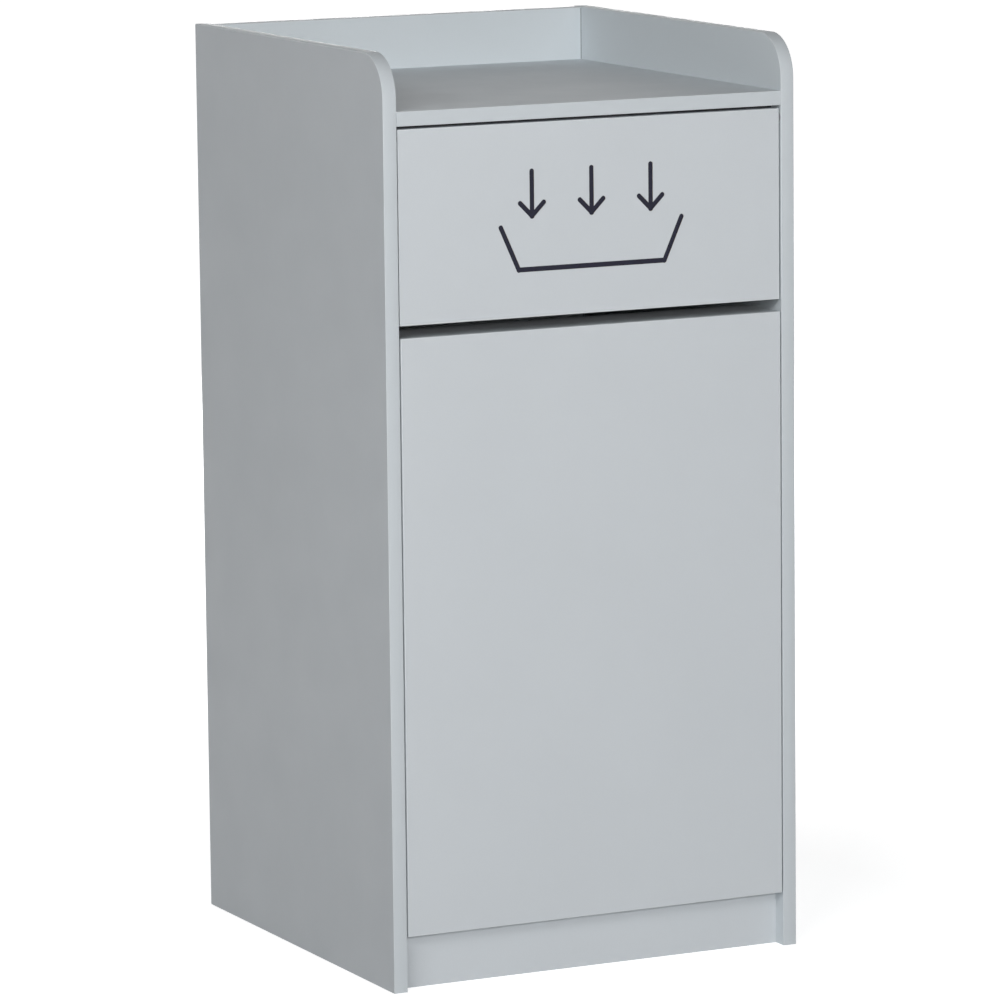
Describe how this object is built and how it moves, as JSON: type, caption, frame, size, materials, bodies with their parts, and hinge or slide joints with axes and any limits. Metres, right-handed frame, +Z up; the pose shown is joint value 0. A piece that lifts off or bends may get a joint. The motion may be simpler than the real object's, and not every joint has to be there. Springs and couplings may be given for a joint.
{
  "type": "tray top trash can",
  "caption": "Free-standing laminated cabinet with a recessed tray top, an inward push flap, an inset door on concealed hinges and a rigid inner container.",
  "frame": {"origin": "on the floor, midway between the side panels' outer faces and midway between their front and rear edges", "axes": "+X to the right seen from the front, +Y to the rear, +Z up"},
  "size_m": [0.594, 0.6, 1.22],
  "materials": {
    "laminate": "light cool grey melamine, low sheen",
    "laminate_front": "light cool grey melamine, low sheen",
    "edge_band": "colour-matched plastic edge band, satin",
    "steel": "bright steel",
    "nickel_plate": "nickel plated steel",
    "zinc_screw": "zinc plated",
    "zinc_cast": "zinc casting, stands in under cast iron",
    "nylon": "dark grey nylon",
    "stop_strip": "black anodised flat bar",
    "soft_pad": "black foam pad",
    "clear_bumper": "clear soft bumper",
    "white_plastic": "white moulded plastic",
    "magnet": "black ferrite",
    "container_plastic": "dark grey moulded polyethylene",
    "beech": "fluted beech"
  },
  "bodies": {
    "cabinet": {"left_side_panel": "laminate", "right_side_panel": "laminate", "back_panel": "laminate", "tray_board": "laminate", "bottom_board": "laminate", "front_rail": "laminate", "kick_plate": "laminate", "left_side_edge_band": "edge_band", "right_side_edge_band": "edge_band", "back_edge_band": "edge_band", "tray_edge_band": "edge_band", "bottom_edge_band": "edge_band", "rail_edge_band": "edge_band", "flap_bushes": "nylon", "flap_stop_strip": "stop_strip", "flap_stop_pads": "soft_pad", "stop_strip_screws": "zinc_screw", "door_bumpers": "clear_bumper", "hinge_arms": "nickel_plate", "arm_pins": "steel", "arm_screws": "zinc_screw", "mounting_plates": "nickel_plate", "plate_screws": "zinc_screw", "catch_housing": "white_plastic", "catch_magnet": "magnet", "catch_poles": "steel", "catch_screws": "zinc_screw", "inner_container": "container_plastic", "cam_locks": "zinc_cast", "cam_bolts": "zinc_screw", "dowels": "beech"},
    "flap": {"flap_panel": "laminate_front", "flap_edge_band": "edge_band", "flap_pivot_pins": "steel"},
    "door": {"door_panel": "laminate_front", "door_edge_band": "edge_band", "hinge_cups": "nickel_plate", "cup_screws": "zinc_screw", "cup_pins": "steel", "strike_plate": "steel", "strike_screws": "zinc_screw"},
    "hinge_long_links": {"long_links": "nickel_plate"},
    "hinge_short_links": {"short_links": "nickel_plate"}
  },
  "joints": [
    {"name": "flap_swing", "type": "hinge", "parent": "cabinet", "child": "flap", "pos_m": [0, -0.2885, 1.1118], "axis": [1, 0, 0], "range_deg": [0, 80]},
    {"name": "long_link_swing", "type": "hinge", "parent": "cabinet", "child": "hinge_long_links", "pos_m": [0.2416, -0.256, 0.4644], "axis": [0, 0, 1], "range_deg": [-41.5, 0]},
    {"name": "door_swing", "type": "hinge", "parent": "hinge_long_links", "child": "door", "pos_m": [0.266, -0.2826, 0.4644], "axis": [0, 0, 1], "range_deg": [0, 136.3]},
    {"name": "short_link_swing", "type": "hinge", "parent": "cabinet", "child": "hinge_short_links", "pos_m": [0.2505, -0.2776, 0.4644], "axis": [0, 0, 1], "range_deg": [-73.7, 0]}
  ],
  "couplings": [
    {"joint": "long_link_swing", "follows": "door_swing", "ratio": -0.30314},
    {"joint": "short_link_swing", "follows": "door_swing", "ratio": -0.53937}
  ]
}
